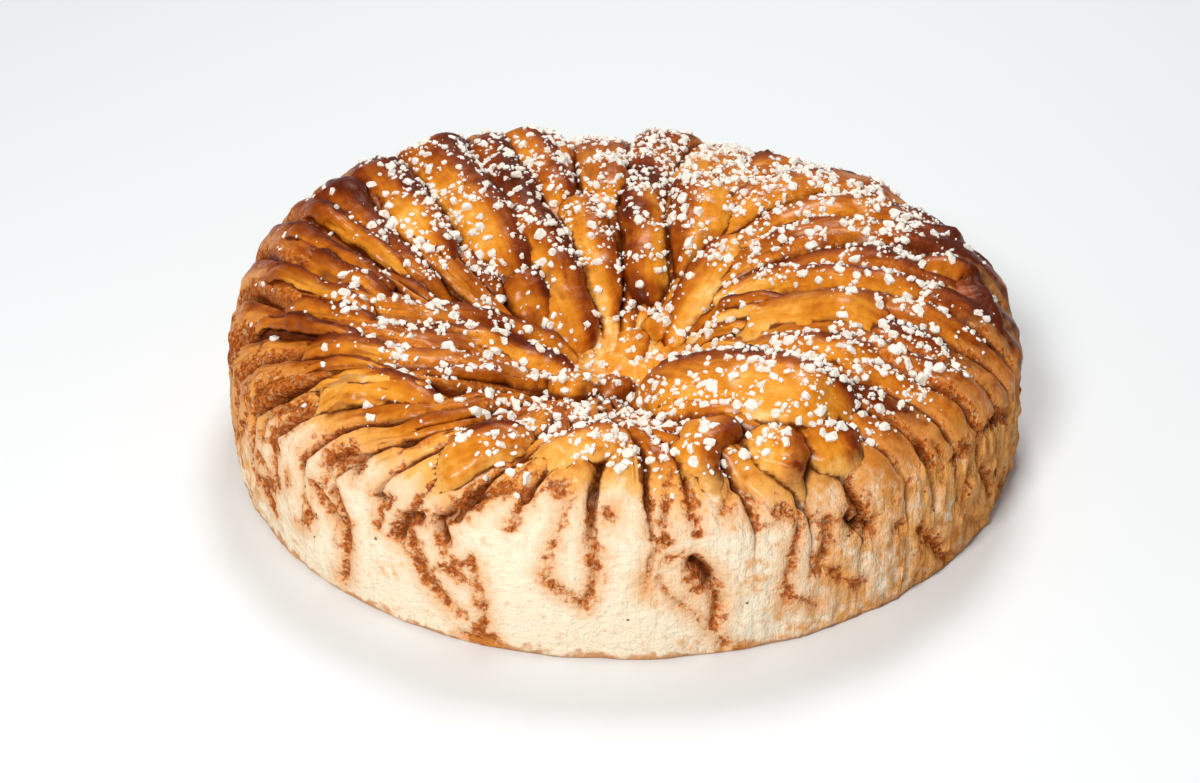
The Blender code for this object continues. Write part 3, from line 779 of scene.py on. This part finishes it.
# Tongues of dough that lie over the folds. Each row: its path in mm seen from above, half its width, how
# far its top stands over the loaf's mean surface, its roll in degrees, how brown it is at both ends, and how
# long its inner end tapers.
tongues = {
    "rows": (
        (((5, -59), (24, -71), (46, -80), (68, -86), (90, -88)), 15.0, 8.4, 14, 0.40, 0.34, 0.9),
        (((20, -12), (42, -21), (66, -33), (92, -44), (114, -52)), 16.0, 6.4, 16, 0.26, 0.42, 1.4),
        (((28, 5), (54, -2), (82, -14), (106, -25), (121, -34)), 7.0, 4.6, 20, 0.32, 0.52, 2.4),
        (((31, -36), (58, -56), (84, -68), (101, -78)), 9.5, 3.8, 18, 0.36, 0.40, 2.2),
        (((84, 20), (101, 26), (113, 20), (118, 6)), 9.5, 4.0, 10, 0.60, 0.80, 1.8),
        (((94, 3), (109, 2), (121, -8)), 5.5, 4.4, 14, 0.46, 0.76, 2.0),
        (((102, 12), (110, -3), (112, -19), (108, -36)), 7.5, 3.0, 16, 0.60, 0.76, 2.2),
        (((70, 36), (88, 45), (104, 52)), 10.5, 4.8, 14, 0.42, 0.88, 2.2),
        (((42, 66), (54, 82), (66, 98)), 11.0, 4.0, 14, 0.42, 0.88, 2.2),
        (((-36, 4), (-45, 24), (-57, 50), (-71, 78), (-82, 98)), 15.0, 6.6, -16, 0.42, 0.58, 2.2),
        (((-30, 14), (-36, 38), (-43, 64), (-52, 92), (-58, 106)), 9.5, 5.6, -14, 0.62, 0.74, 2.0),
        (((-22, 44), (-29, 68), (-38, 94), (-43, 108)), 9.0, 5.4, -10, 0.42, 0.50, 2.0),
        (((-14, -11), (-19, 2), (-25, 17), (-31, 36), (-36, 54)), 9.0, 7.0, -14, 0.36, 0.68, 1.3),
        (((-24, -7), (-31, 5), (-38, 17)), 7.5, 5.2, -18, 0.50, 0.68, 2.0),
        (((-5, 0), (-9, 13), (-13, 31), (-17, 54), (-22, 84)), 8.5, 4.4, -14, 0.28, 0.50, 2.4),
        (((-58, 6), (-69, 26), (-83, 50), (-97, 74)), 11.0, 6.0, -20, 0.40, 0.66, 2.4),
        (((-78, 6), (-90, 28), (-105, 54)), 8.5, 5.4, -20, 0.54, 0.80, 2.6),
        (((9, 8), (8, 26), (6, 50), (6, 86)), 7.5, 3.6, 16, 0.36, 0.56, 2.2),
        (((22, 14), (27, 36), (32, 62), (37, 90)), 11.5, 4.4, 18, 0.28, 0.50, 2.4),
        (((14, -9), (22, 3), (31, 18), (42, 36), (52, 52)), 8.0, 2.6, 8, 0.26, 0.36, 2.2),
        (((-13, -44), (-27, -37), (-44, -35), (-60, -39), (-78, -45)), 6.0, 4.6, -18, 0.38, 0.46, 2.4),
        (((-15, -15), (-31, -16), (-46, -18), (-62, -24), (-80, -30)), 6.0, 4.6, -18, 0.38, 0.48, 2.2),
        (((-54, -85), (-67, -77), (-82, -71), (-98, -68), (-110, -66)), 7.5, 4.4, -18, 0.46, 0.30, 2.6),
        (((-68, -60), (-84, -54), (-100, -48), (-114, -44)), 6.5, 4.2, -18, 0.46, 0.52, 2.6),
        (((-76, -42), (-92, -32), (-110, -20), (-123, -12)), 7.0, 4.2, -18, 0.46, 0.58, 2.6),
        (((-73, -24), (-91, -10), (-110, 6), (-121, 16)), 7.0, 4.2, -18, 0.48, 0.68, 2.6),
        # thin layers between those arcs
        (((-80, -50), (-96, -40), (-112, -28), (-121, -20)), 2.7, 5.2, -16, 0.60, 0.62, 2.0),
        (((-78, -33), (-94, -21), (-110, -6), (-120, 2)), 2.8, 5.6, -16, 0.34, 0.50, 2.0),
        (((-74, -14), (-90, 0), (-106, 15), (-116, 26)), 2.7, 5.6, -16, 0.62, 0.70, 2.0),
        (((-70, -3), (-86, 13), (-101, 29), (-111, 40)), 2.9, 5.6, -16, 0.36, 0.60, 2.0),
        (((-66, -68), (-84, -62), (-100, -57), (-112, -54)), 2.5, 4.6, -16, 0.56, 0.50, 2.0),
        (((-56, -80), (-74, -72), (-92, -66), (-106, -63)), 2.5, 4.4, -16, 0.30, 0.26, 2.0),
        (((-26, -98), (-38, -102), (-52, -105), (-68, -108)), 8.5, 3.8, -16, 0.52, 0.26, 2.2),
        (((29, -88), (23, -100), (17, -113), (13, -125)), 9.0, 3.6, 16, 0.44, 0.32, 2.0),
        (((44, -88), (43, -103), (42, -114), (41, -126)), 11.0, 3.8, 6, 0.38, 0.24, 2.0),
        (((2, -98), (-10, -104), (-22, -109), (-34, -118)), 7.5, 3.0, -12, 0.42, 0.26, 2.0),
        (((50, -84), (60, -100), (72, -120)), 9.0, 2.8, 10, 0.46, 0.34, 2.0),
        # thin layers that fan out at the inner end of the second large one
        (((21, -6), (31, -7), (46, -11), (64, -20)), 2.4, 8.6, 20, 0.72, 0.60, 2.0),
        (((20, -11), (29, -13), (42, -17), (60, -26)), 2.2, 8.4, 20, 0.20, 0.36, 2.0),
        (((19, -15), (28, -19), (40, -24), (56, -33)), 2.2, 7.4, 20, 0.50, 0.40, 2.0),
        (((18, -19), (26, -24), (36, -30), (50, -38)), 2.2, 5.6, 20, 0.20, 0.30, 2.0),
    ),
    # bearing, distance from the dimple, half width, height and brownness
    "knobs": ((267, 39, 7.6, 5.0, 0.40), (79, 17, 6.5, 5.5, 0.28), (100, 11, 9.0, 2.6, 0.10),
              (22, 15, 8.0, 2.2, 0.14), (140, 9, 8.0, 2.2, 0.10), (55, 8, 9.0, 2.0, 0.08),
              (250, 10, 9.0, 2.0, 0.12), (60, 26, 7.0, 2.6, 0.24), (252, 52, 7.5, 5.0, 0.28)),
    "around": 28, "lengthwise": 60,
    "rim": (116, 0.6),            # a path is drawn in beyond this reach, to this share
    "sunk": 1.5, "thin": 3,
    # Where the outer end goes down into the loaf, and the heights above which a tongue is a petal or large
    "petalEnd": (0.72, 0.99), "largeEnd": (0.56, 0.96), "plainEnd": (0.5, 0.92),
    "petalOver": 5, "largeOver": 8,
    "wholeCrust": 20,             # stored height over the crust's lower edge where that is far away
    "frontEnd": -100, "granular": (-70, 45),
}
# What the finish reads of the loaf's skin and a tongue has none of
unmarked = {"toast": 0, "crease": 9, "groove": 0, "side": 0}


def surfaceOf(objects):
    points, faces = [], []
    for o in objects:
        base = len(points)
        points += [v.co.copy() for v in o.data.vertices]
        faces += [[v + base for v in f.vertices] for f in o.data.polygons]
    return BVHTree.FromPolygons(points, faces)


def markHollowShade(pieces, reach=7 * mm, rays=10, lowest=20 * mm):
    # How far every point lies in a crease or under an overhang, from 0 in the open to 1, kept for the painted
    # shade that darkens those places
    surface = surfaceOf(pieces)
    golden = math.pi * (3 - math.sqrt(5))
    fan = [(math.sqrt(1 - h * h) * math.cos(k * golden), math.sqrt(1 - h * h) * math.sin(k * golden), h)
           for k, h in enumerate(np.linspace(0.15, 0.95, rays))]
    for piece in pieces:
        occludedShade = np.zeros(len(piece.data.vertices))
        for number, vertex in enumerate(piece.data.vertices):
            if vertex.co.z < lowest:
                continue
            normal = vertex.normal
            spread = normal.to_track_quat("Z", "X").to_matrix()
            start = vertex.co + normal * 0.4 * mm
            for ray in fan:
                hit = surface.ray_cast(start, spread @ Vector(ray), reach)
                if hit[0] is not None:
                    occludedShade[number] += 1 - 0.7 * hit[3] / reach
        fromDimple = np.hypot(*(vertexPlaces(piece.data)[:, :2] / mm - loaf["dimple"]).T)
        markPiece(piece.data, {"hollow": occludedShade / rays * smooth(fromDimple, 12, 36)})


def courseOf(path):
    # A tongue's middle line over the loaf: stations along it, and its places and directions there
    knots = np.array(path, float)
    legs = np.append(0, np.cumsum(np.hypot(*np.diff(knots, axis=0).T)))
    stations = np.linspace(0, legs[-1], 60)
    line = np.stack([np.interp(stations, legs, knots[:, k]) for k in (0, 1)], -1)
    for _ in range(6):                                       # rounds the path's corners
        line[1:-1] = (line[:-2] + 2 * line[1:-1] + line[2:]) / 4
    reach = np.hypot(line[:, 0], line[:, 1])[:, None]
    rim, drawnIn = tongues["rim"]
    line *= np.minimum(1, (rim + drawnIn * (reach - rim)) / np.maximum(reach, 1))
    heights = profile(*whereOnTop(line[:, 0], line[:, 1])) - tongues["sunk"]
    line = np.column_stack([line, np.convolve(np.pad(heights, 3, "edge"), np.ones(7) / 7, "valid")])
    ahead = np.gradient(line, axis=0)
    return stations, line, ahead / np.linalg.norm(ahead, axis=1, keepdims=True)


def follow(at, stations, values):
    return np.stack([np.interp(at, stations, values[:, k]) for k in range(3)], -1)


def sphereAngles(mesh):
    # Way from pole to pole, 0 to 1, and the angle round it
    places = vertexPlaces(mesh)
    return np.arccos(np.clip(places[:, 2], -1, 1)) / math.pi, np.arctan2(places[:, 1], places[:, 0])


def endOf(roll, height):
    # The stretch over which a tongue's outer end goes down into the loaf
    if roll < 0 and height > tongues["petalOver"]:
        return tongues["petalEnd"]
    return tongues["largeEnd"] if height > tongues["largeOver"] else tongues["plainEnd"]


def addTongue(row, number):
    path, half, height, roll, innerTone, outerTone, taper = row
    clearSelection()
    bpy.ops.mesh.primitive_uv_sphere_add(segments=tongues["around"], ring_count=tongues["lengthwise"],
                                         radius=1)
    piece = bpy.context.object
    mesh = piece.data
    along, angle = sphereAngles(mesh)
    stations, line, ahead = courseOf(path)
    length = stations[-1]
    at = along * length
    centre, ahead = follow(at, stations, line), follow(at, stations, ahead)
    lateral = np.cross((0, 0, 1), ahead)
    lateral /= np.linalg.norm(lateral, axis=1, keepdims=True)
    up = np.cross(ahead, lateral)
    turn = math.radians(roll)
    lateral, up = (lateral * math.cos(turn) + up * math.sin(turn),
                   up * math.cos(turn) - lateral * math.sin(turn))
    nose = np.clip(at / (taper * half), 0, 1)
    tail = np.clip((length - at) / (1.2 * half), 0, 1)
    ended = np.sqrt(1 - (1 - nose) ** 2) * np.sqrt(1 - (1 - tail) ** 2)
    top = height * (1 - 0.16 * taper * (1 - smooth(at, 0, 2.5 * half)))
    if half < tongues["thin"]:
        top = top * (0.35 + 0.65 * smooth(at, 0, 16))        # a thin layer rises with the tongue under it
    half = half * (0.92 + 0.36 * np.array([noise.noise((a * 2.6, number * 3.3, 1.7)) for a in along]))
    thick = 0.5 * half
    across, upright = np.cos(angle), np.sin(angle)
    sideways = np.sign(across) * np.abs(across) ** 0.9 * half * ended
    upwards = np.sign(upright) * np.abs(upright) ** 0.85 * thick * ended
    dive = (top + 1.8 * thick) * smooth(along, *endOf(roll, height))
    points = centre + lateral * sideways[:, None] + up * (upwards + top - thick - dive)[:, None]
    soft, knobbly = lumps(points + number * 31, 15, 2), lumps(points + 50, 6, 3)
    rib = layers(sideways + number * 17.0, at, points, 0 * at)
    swell = 1.5 * soft + 0.9 * knobbly + 1.1 * np.minimum(rib, 0.3) / 0.3
    points = points + (up * upright[:, None] + lateral * across[:, None]) * (swell * ended)[:, None]
    mesh.vertices.foreach_set("co", (points * mm).ravel())

    bake = innerTone + (outerTone - innerTone) * smooth(along, 0.15, 0.9) + 0.10 * (upright - 0.6)
    bake = bake + 0.10 * soft + 0.09 * knobbly + 0.8 * toneAt(points)
    farSide = across * np.where(ahead[:, 0] > 0, 1, -1)
    farSide = np.where(np.abs(ahead[:, 0]) > 0.5, farSide, across * np.sign(roll + 0.1))
    bake = bake + 0.50 * (smooth(farSide, 0.0, 0.85) - 0.33)
    whole = tongues["wholeCrust"]
    rimEdge = points[:, 2] - table(loaf["crustEdge"], turnOf(points)) + 2.5 * soft + 3
    nearRim = np.hypot(points[:, 0], points[:, 1]) > 104
    edge = np.where(nearRim, np.minimum(rimEdge, whole), whole)
    endX, endY = path[-1]
    if endY < tongues["frontEnd"]:                           # the front ones pale into the side
        edge = np.minimum(edge, whole - 27 * smooth(along, 0.36, 0.94) + 3 * soft)
    x, y = tongues["granular"]
    spiced = roll < 0 and endX < x and endY < y              # cinnamon shows on the left arcs' flanks
    markPiece(mesh, {"bake": bake, "spice": (2.4 if spiced else 7) + 5.5 * upright, "crustEdge": edge,
                     "rib": rib, **unmarked})
    layUv(mesh, sideways / 100 + number * 2.3, at / 100)
    return piece


def addKnob(row, number):
    bearing, e, half, height, tone = row
    clearSelection()
    bpy.ops.mesh.primitive_uv_sphere_add(segments=32, ring_count=24, radius=1)
    piece = bpy.context.object
    mesh = piece.data
    ball = vertexPlaces(mesh)
    x, y = planPoint(e, np.radians(bearing))
    middle = np.array([x, y, profile(e, np.radians(bearing)) - 1.6 + height - half * 0.9])
    swollen = 1 + 0.22 * lumps(ball * 10 + number * 40, 11, 2)
    points = middle + ball * swollen[:, None] * (half, half * 0.9, half)
    mesh.vertices.foreach_set("co", (points * mm).ravel())
    browned = 0.25 * (ball[:, 0] > 0.3) * (1 - ball[:, 2]) * 0.5 + 0.1 * ball[:, 2]
    markPiece(mesh, {"bake": tone + browned, "spice": 3 + 5 * ball[:, 2], "crustEdge": 12, "rib": 1,
                     **unmarked})
    layUv(mesh, ball[:, 0] * half / 100 + number, ball[:, 1] * half / 100)
    return piece


def layUv(mesh, u, v):
    corners = np.empty(len(mesh.loops), np.int32)
    mesh.loops.foreach_get("vertex_index", corners)
    layer = mesh.uv_layers.active
    layer.name = "dough"
    layer.data.foreach_set("uv", np.stack([u[corners], v[corners]], -1).astype(np.float32).ravel())


def joined(pieces, name):
    clearSelection()
    for piece in pieces:
        piece.select_set(True)
    bpy.context.view_layer.objects.active = pieces[0]
    bpy.ops.object.join()
    bpy.ops.object.mode_set(mode="EDIT")
    bpy.ops.mesh.select_all(action="SELECT")
    bpy.ops.mesh.normals_make_consistent(inside=False)
    bpy.ops.object.mode_set(mode="OBJECT")
    pieces[0].name = name
    pieces[0].data.shade_smooth()
    return pieces[0]


# Pearl sugar: large nibs, small ones and dust, each scattered by a rule over the top
sugar = {
    "kinds": (  # name, how many, sizes in mm, how high each sits as a share of its size
        ("pearl_sugar", 1600, (1.6, 3.4), 0.0), ("sugar_bits", 2700, (0.9, 1.8), 0.1),
        ("sugar_dust", 2200, (0.4, 0.8), 0.05)),
    "firstSeed": 5, "shapes": 6,
    "plain": 0.34, "reach": 121, "apart": 0.46, "steepest": 0.3, "tilt": 0.45,
    # Thicker and thinner patches: bearing, distance, spread in mm, weight
    "patches": (
        (90, 95, 28, 0.3), (60, 85, 26, 0.45), (38, 80, 24, 0.5), (120, 95, 22, 0.15), (15, 82, 18, 0.3),
        (330, 98, 16, 0.4), (310, 80, 14, 0.6), (318, 58, 12, 0.4), (345, 92, 12, 0.2), (150, 66, 16, 0.3),
        (165, 55, 16, 0.25), (190, 70, 16, 0.2), (225, 80, 14, 0.4), (245, 92, 10, 0.5), (262, 84, 12, 0.5),
        (282, 84, 12, 0.5), (290, 104, 11, 0.5), (302, 110, 11, 0.5), (75, 45, 20, 0.2), (60, 65, 18, 0.3),
        (75, 22, 12, 0.2), (45, 95, 20, 0.2), (310, 66, 8, 0.5), (312, 90, 9, 0.4), (240, 78, 10, 0.3),
        (131, 88, 12, -0.25), (147, 104, 14, -0.35), (296, 96, 9, -0.5), (355, 112, 14, -0.3),
        (8, 114, 14, -0.3), (352, 48, 14, -0.35), (340, 56, 10, -0.25), (0, 66, 10, -0.1),
        (180, 108, 18, -0.3), (205, 105, 14, -0.3), (303, 88, 12, 0.5), (353, 66, 14, -0.2),
        (178, 90, 14, -0.25), (58, 98, 22, 0.2),
    ),
    # Where the rim is almost bare: beyond this distance, between these bearings, the share that is left
    "bare": ((92, 150, 240, 0.12), (112, 232, 302, 0.25)),
    "colour": paint(253, 249, 242), "shade": paint(242, 230, 212),
}
sugarPatches = [(*(float(v) for v in planPoint(out, math.radians(bearing))), spread, weight)
                for bearing, out, spread, weight in sugar["patches"]]


def sugarShare(x, y, e, bearing):
    share = sugar["plain"]
    for px, py, spread, weight in sugarPatches:
        share += weight * math.exp(-((x - px) ** 2 + (y - py) ** 2) / (spread * spread))
    degrees = math.degrees(bearing) % 360
    for beyond, first, last, left in sugar["bare"]:
        if e > beyond and first < degrees < last:
            share *= left
    return share * (0.7 + 1.9 * noise.noise((x / 8, y / 8, 3.3)))


def nibShapes(kind):
    # A few uneven lumps to copy from, modelled once
    shapes = []
    draw = random.Random(len(kind))
    for _ in range(sugar["shapes"]):
        clearSelection()
        if kind == "pearl_sugar":
            bpy.ops.mesh.primitive_cube_add(size=1)
            bpy.ops.object.mode_set(mode="EDIT")
            bpy.ops.mesh.bevel(offset=0.24, segments=1)
            bpy.ops.object.mode_set(mode="OBJECT")
        elif kind == "sugar_bits":
            bpy.ops.mesh.primitive_ico_sphere_add(subdivisions=1, radius=0.56)
        else:
            bpy.ops.mesh.primitive_cube_add(size=0.8)
        lump = bpy.context.object
        stretch = draw.uniform(0.8, 1.5), draw.uniform(0.6, 1.1), draw.uniform(0.5, 0.8)
        points = [[c * k + draw.uniform(-0.12, 0.12) for c, k in zip(v.co, stretch)]
                  for v in lump.data.vertices]
        shapes.append((np.array(points), [list(f.vertices) for f in lump.data.polygons]))
        bpy.data.objects.remove(lump, do_unlink=True)
    return shapes


def scatterSugar(kind, count, sizes, raised, surface, seed):
    draw = random.Random(seed)
    shapes = nibShapes(kind)
    points, faces, total, placed = [], [], 0, {}
    rim = loaf["rimRadius"]
    while len(points) < count:
        x, y = draw.uniform(-rim, rim), draw.uniform(-rim, rim)
        size = sizes[0] + (sizes[1] - sizes[0]) * draw.random() ** 1.6
        reach = math.hypot(x, y)
        if reach > sugar["reach"]:
            continue
        share = 1 - reach / rim
        ex, ey = x - loaf["dimple"][0] * share, y - loaf["dimple"][1] * share
        if draw.random() > sugarShare(x, y, math.hypot(ex, ey), math.atan2(ey, ex)):
            continue
        hit, normal, _, _ = surface.ray_cast(Vector((x * mm, y * mm, 0.2)), Vector((0, 0, -1)))
        if hit is None or normal.z < sugar["steepest"]:
            continue
        cell = (round(x / 3), round(y / 3))
        near = [q for i in (-1, 0, 1) for j in (-1, 0, 1) for q in placed.get((cell[0] + i, cell[1] + j), [])]
        crowded = any(math.hypot(x - q[0], y - q[1]) < sugar["apart"] * (size + q[2]) for q in near)
        if crowded and kind != "sugar_dust":
            continue
        placed.setdefault(cell, []).append((x, y, size))
        shape, shapeFaces = shapes[draw.randrange(len(shapes))]
        lying = normal + sugar["tilt"] * Vector((draw.gauss(0, 1), draw.gauss(0, 1), draw.gauss(0, 1)))
        turn = lying.to_track_quat("Z", "X") @ Quaternion((0, 0, 1), draw.uniform(0, 2 * math.pi))
        seat = np.array(hit + normal * (raised * size * mm))
        points.append(shape @ np.array(turn.to_matrix()).T * size * mm + seat)
        faces += [[v + total for v in face] for face in shapeFaces]
        total += len(shape)
    mesh = bpy.data.meshes.new(kind)
    mesh.from_pydata(np.concatenate(points).tolist(), [], faces)
    mesh.validate()
    piece = bpy.data.objects.new(kind, mesh)
    bpy.context.scene.collection.objects.link(piece)
    return piece


def makeSugarFinish():
    f = Finish("pearl sugar")
    shade = f.fade(f.grain(0.0016, 3), -0.15, 0.2)
    f.feed(Base_Color=f.mix(shade, sugar["shade"], sugar["colour"]), Roughness=0.45 + 0.3 * f.grain(0.001, 2),
           Normal=f.bump(f.grain(0.0005, 2), 0.0003), Specular_IOR_Level=0.5,
           Subsurface_Weight=0.35, Subsurface_Scale=0.0015, Subsurface_Radius=(1.0, 0.9, 0.8))
    return f.material


makeCamera()
makeStudio()
print("camera and studio ready")
crust = buildLoaf()
crust.data.materials.clear()
crust.data.materials.append(makeCrustFinish())
print("loaf:", len(crust.data.polygons), "faces")
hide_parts("wreath")
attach(crust, "root")
pieces = [addTongue(row, k) for k, row in enumerate(tongues["rows"])]
pieces += [addKnob(row, k) for k, row in enumerate(tongues["knobs"])]
overlaps = joined(pieces, "tongues")
overlaps.data.materials.clear()
overlaps.data.materials.append(crust.data.materials[0])
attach(overlaps, "root")
print("tongues:", len(overlaps.data.polygons), "faces")

# Occlusion for the painted shade in hollows
markHollowShade((crust, overlaps))
print("hollows marked")
surface = surfaceOf((crust, overlaps))
sugarFinish = makeSugarFinish()
for seed, (kind, count, sizes, raised) in enumerate(sugar["kinds"]):
    piece = scatterSugar(kind, count, sizes, raised, surface, seed + sugar["firstSeed"])
    piece.data.materials.append(sugarFinish)
    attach(piece, "root")
    print(kind, len(piece.data.polygons), "faces")
